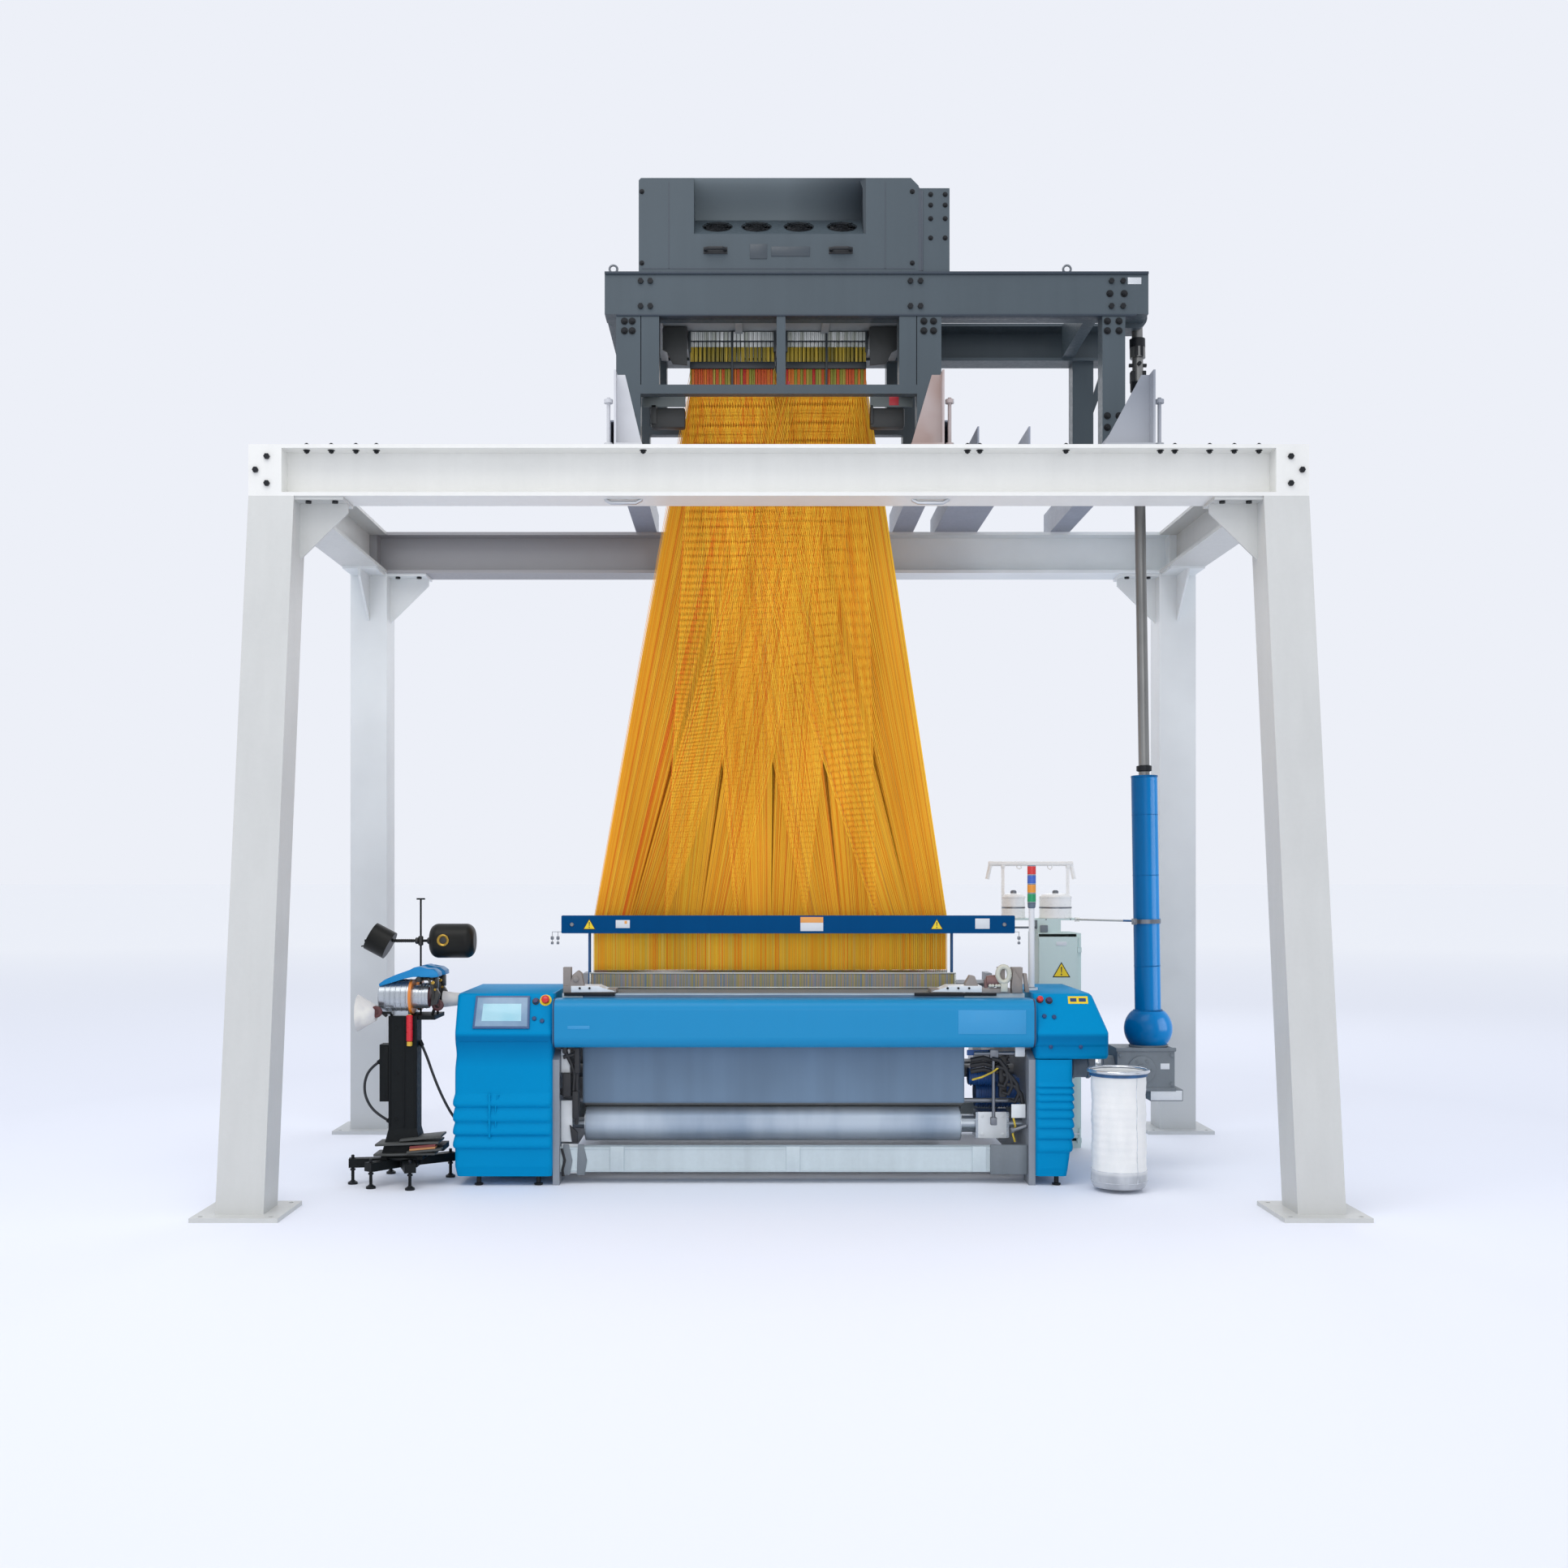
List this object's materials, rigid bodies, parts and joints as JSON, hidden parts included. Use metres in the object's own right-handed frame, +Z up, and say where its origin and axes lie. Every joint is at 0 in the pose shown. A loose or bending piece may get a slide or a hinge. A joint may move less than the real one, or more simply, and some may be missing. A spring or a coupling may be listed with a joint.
{
  "type": "power loom",
  "caption": "Jacquard air-jet weaving machine under a steel gantry, with an electronic jacquard head, cord harness, cloth take-up, warp beam and weft feeder stand.",
  "frame": {"origin": "on the floor, at the middle of the bounding box, which is the middle of the four gantry base plates", "axes": "+X across the cloth to the weaver's right, +Y from the weaver to the back of the loom, +Z up"},
  "size_m": [5.32, 2.895, 5.171],
  "materials": {
    "gantry_paint": "satin",
    "bracket_white": "satin",
    "head_grey": "satin",
    "module_plastic": "matte",
    "fan_black": "matte",
    "bolt_steel": "satin",
    "harness_cord": "matte",
    "board_blue": "satin",
    "heald_wire": "satin",
    "guard_blue": "satin",
    "frame_iron": "satin",
    "cover_blue": "gloss",
    "cloth_blue": "matte",
    "roll_cloth": "satin",
    "roller_steel": "satin",
    "warp_yarn": "matte",
    "temple_steel": "satin",
    "button_red": "gloss",
    "button_dark": "gloss",
    "lamp_plastic": "gloss",
    "cabinet_grey": "satin",
    "canister_white": "satin",
    "bag_cloth": "matte",
    "stand_black": "satin",
    "feeder_metal": "satin",
    "disc_orange": "gloss",
    "hose_rubber": "matte"
  },
  "bodies": {
    "loom": {"balloon_drums": "stand_black", "beam_front": "gantry_paint", "beam_left": "gantry_paint", "beam_rear": "gantry_paint", "beam_right": "gantry_paint", "cabinet": "cabinet_grey", "canisters": "canister_white", "cloth": "cloth_blue", "comber_board": "board_blue", "cross_beams": "head_grey", "drive_gearbox": "frame_iron", "feeders": "feeder_metal", "front_cover": "cover_blue", "guard_bar": "guard_blue", "guard_tube": "guard_blue", "harness": "harness_cord", "head_brackets": "bracket_white", "head_cover": "head_grey", "head_gearbox": "head_grey", "head_posts": "head_grey", "head_rails": "head_grey", "healds": "heald_wire", "hex_bolts": "bolt_steel", "hook_modules": "module_plastic", "hose_left": "hose_rubber", "hose_right": "hose_rubber", "left_cover": "cover_blue", "leg_front_left": "gantry_paint", "leg_front_right": "gantry_paint", "leg_rear_left": "gantry_paint", "leg_rear_right": "gantry_paint", "loom_cross_beams": "frame_iron", "main_motor": "frame_iron", "right_cover": "cover_blue", "side_frame_left": "frame_iron", "side_frame_right": "frame_iron", "signal_lamp": "lamp_plastic", "temples": "temple_steel", "warp_sheet": "warp_yarn", "waste_bag": "bag_cloth", "weft_stand": "stand_black"},
    "cloth_roll": {"cloth_roll": "roll_cloth"},
    "takeup_roller": {"takeup_roller": "roller_steel"},
    "press_roller": {"press_roller": "roller_steel"},
    "warp_beam": {"warp_beam": "warp_yarn"},
    "backrest_roller": {"backrest_roller": "roller_steel"},
    "sley": {"sley": "roller_steel"},
    "main_shaft": {"main_shaft": "roller_steel"},
    "drive_shaft": {"drive_shaft": "roller_steel"},
    "cabinet_door": {"cabinet_door": "cabinet_grey"},
    "feeder_disc_1": {"feeder_disc_1": "disc_orange"},
    "feeder_disc_2": {"feeder_disc_2": "disc_orange"},
    "head_fan_1": {"head_fan_1": "fan_black"},
    "head_fan_2": {"head_fan_2": "fan_black"},
    "head_fan_3": {"head_fan_3": "fan_black"},
    "head_fan_4": {"head_fan_4": "fan_black"},
    "stop_button_left": {"stop_button_left": "button_red"},
    "start_button_left": {"start_button_left": "button_dark"},
    "stop_button_right": {"stop_button_right": "button_red"},
    "start_button_right": {"start_button_right": "button_dark"}
  },
  "joints": [
    {"name": "cloth_roll_spin", "type": "hinge", "parent": "loom", "child": "cloth_roll", "pos_m": [0, -0.343, 0.281], "axis": [1, 0, 0], "continuous": true},
    {"name": "takeup_spin", "type": "hinge", "parent": "loom", "child": "takeup_roller", "pos_m": [0, -0.343, 0.79], "axis": [1, 0, 0], "continuous": true},
    {"name": "press_spin", "type": "hinge", "parent": "loom", "child": "press_roller", "pos_m": [0, -0.221, 0.79], "axis": [1, 0, 0], "continuous": true},
    {"name": "warp_beam_spin", "type": "hinge", "parent": "loom", "child": "warp_beam", "pos_m": [0, 0.76, 0.47], "axis": [1, 0, 0], "continuous": true},
    {"name": "backrest_spin", "type": "hinge", "parent": "loom", "child": "backrest_roller", "pos_m": [0, 1.01, 0.9157], "axis": [1, 0, 0], "continuous": true},
    {"name": "sley_swing", "type": "hinge", "parent": "loom", "child": "sley", "pos_m": [0, -0.06, 0.52], "axis": [1, 0, 0], "range_deg": [-12, 0]},
    {"name": "main_shaft_spin", "type": "hinge", "parent": "loom", "child": "main_shaft", "pos_m": [0, -0.06, 0.24], "axis": [1, 0, 0], "continuous": true},
    {"name": "drive_shaft_spin", "type": "hinge", "parent": "loom", "child": "drive_shaft", "pos_m": [1.971, -0.132, 0.64], "axis": [-0.0157, 0, 0.9999], "continuous": true},
    {"name": "door_swing", "type": "hinge", "parent": "loom", "child": "cabinet_door", "pos_m": [1.745, 0.56, 0.6], "axis": [0, 0, 1], "range_deg": [0, 110]},
    {"name": "fan_1_spin", "type": "hinge", "parent": "loom", "child": "head_fan_1", "pos_m": [-0.31, -0.24, 4.95132], "axis": [0, -0.6157, 0.788], "continuous": true},
    {"name": "fan_2_spin", "type": "hinge", "parent": "loom", "child": "head_fan_2", "pos_m": [-0.106, -0.24, 4.95132], "axis": [0, -0.6157, 0.788], "continuous": true},
    {"name": "fan_3_spin", "type": "hinge", "parent": "loom", "child": "head_fan_3", "pos_m": [0.115, -0.24, 4.95132], "axis": [0, -0.6157, 0.788], "continuous": true},
    {"name": "fan_4_spin", "type": "hinge", "parent": "loom", "child": "head_fan_4", "pos_m": [0.34, -0.24, 4.95132], "axis": [0, -0.6157, 0.788], "continuous": true},
    {"name": "feeder_1_spin", "type": "hinge", "parent": "loom", "child": "feeder_disc_1", "pos_m": [-1.855, -0.486, 0.945], "axis": [1, 0, 0], "continuous": true},
    {"name": "feeder_2_spin", "type": "hinge", "parent": "loom", "child": "feeder_disc_2", "pos_m": [-1.855, -0.29, 0.945], "axis": [1, 0, 0], "continuous": true},
    {"name": "stop_button_left_press", "type": "slide", "parent": "loom", "child": "stop_button_left", "axis": [0, 0.9046, -0.4263], "range_m": [0, 0.005], "stiffness_N_per_m": 600},
    {"name": "start_button_left_press", "type": "slide", "parent": "loom", "child": "start_button_left", "axis": [0, 0.9046, -0.4263], "range_m": [0, 0.005], "stiffness_N_per_m": 600},
    {"name": "stop_button_right_press", "type": "slide", "parent": "loom", "child": "stop_button_right", "axis": [0, 0.9046, -0.4263], "range_m": [0, 0.005], "stiffness_N_per_m": 600},
    {"name": "start_button_right_press", "type": "slide", "parent": "loom", "child": "start_button_right", "axis": [0, 0.9046, -0.4263], "range_m": [0, 0.005], "stiffness_N_per_m": 600}
  ],
  "couplings": [
    {"joint": "press_spin", "follows": "takeup_spin", "ratio": -2.4714},
    {"joint": "cloth_roll_spin", "follows": "takeup_spin", "ratio": 0.99425},
    {"joint": "backrest_spin", "follows": "warp_beam_spin", "ratio": 5.0323},
    {"joint": "drive_shaft_spin", "follows": "main_shaft_spin", "ratio": 0.5}
  ]
}
